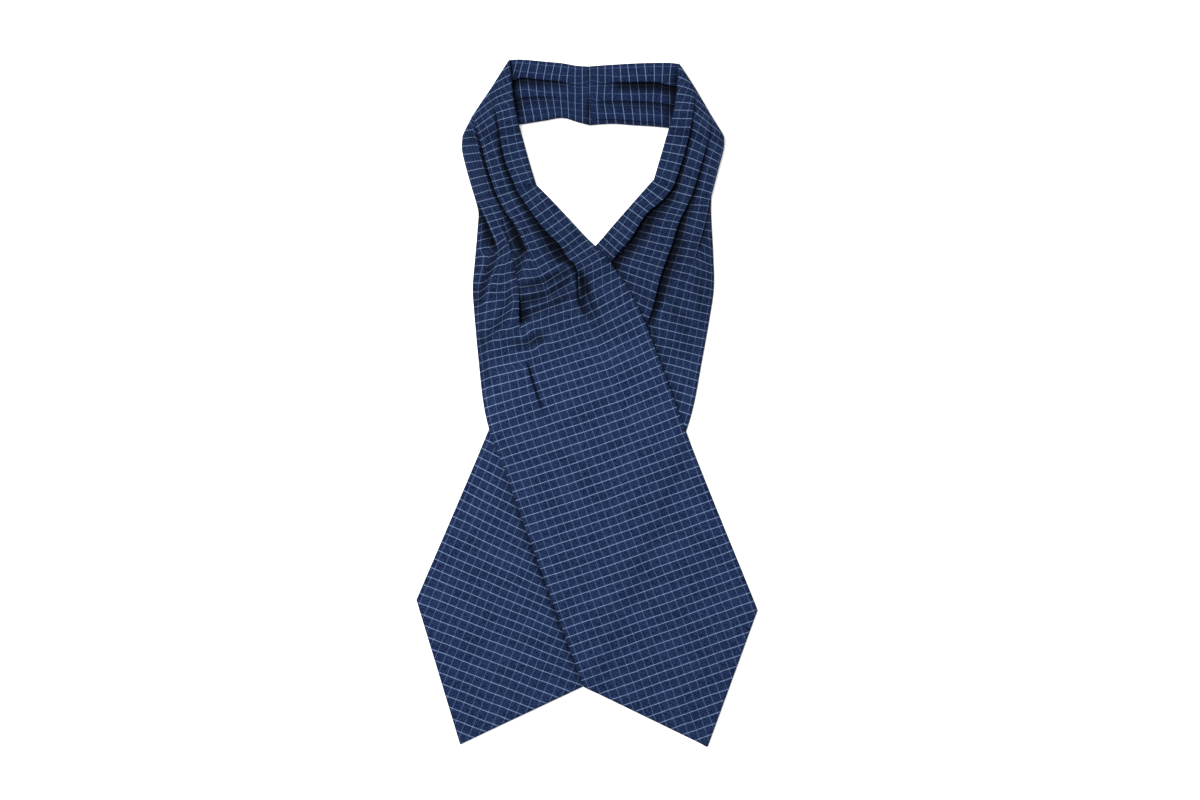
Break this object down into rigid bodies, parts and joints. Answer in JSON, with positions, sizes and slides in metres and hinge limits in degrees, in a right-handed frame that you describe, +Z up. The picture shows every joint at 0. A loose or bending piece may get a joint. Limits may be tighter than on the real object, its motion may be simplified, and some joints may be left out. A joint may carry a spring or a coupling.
{
  "type": "cravat",
  "caption": "Day cravat laid flat face up: pleated neckband and straps, gathered into pointed blades that cross at the front, navy cloth with a fine pale check",
  "frame": {"origin": "middle of the outline, on the surface the cravat lies on", "axes": "+Y runs from the blade points up to the neckband, +X to the viewer's right when seen from above, +Z up off the surface, out of the face"},
  "size_m": [0.273, 0.5495, 0.013],
  "materials": {
    "cloth_face": "matte woven cotton, navy with a fine pale blue check",
    "cloth_inner": "matte woven cotton, inner side, darker navy with a fine pale check"
  },
  "bodies": {
    "root": {"neckband_back_left": "cloth_inner", "neckband_back_right": "cloth_inner", "band_front_left": "cloth_face", "band_front_right": "cloth_face", "blade_over": "cloth_face", "blade_under": "cloth_face"}
  },
  "joints": []
}
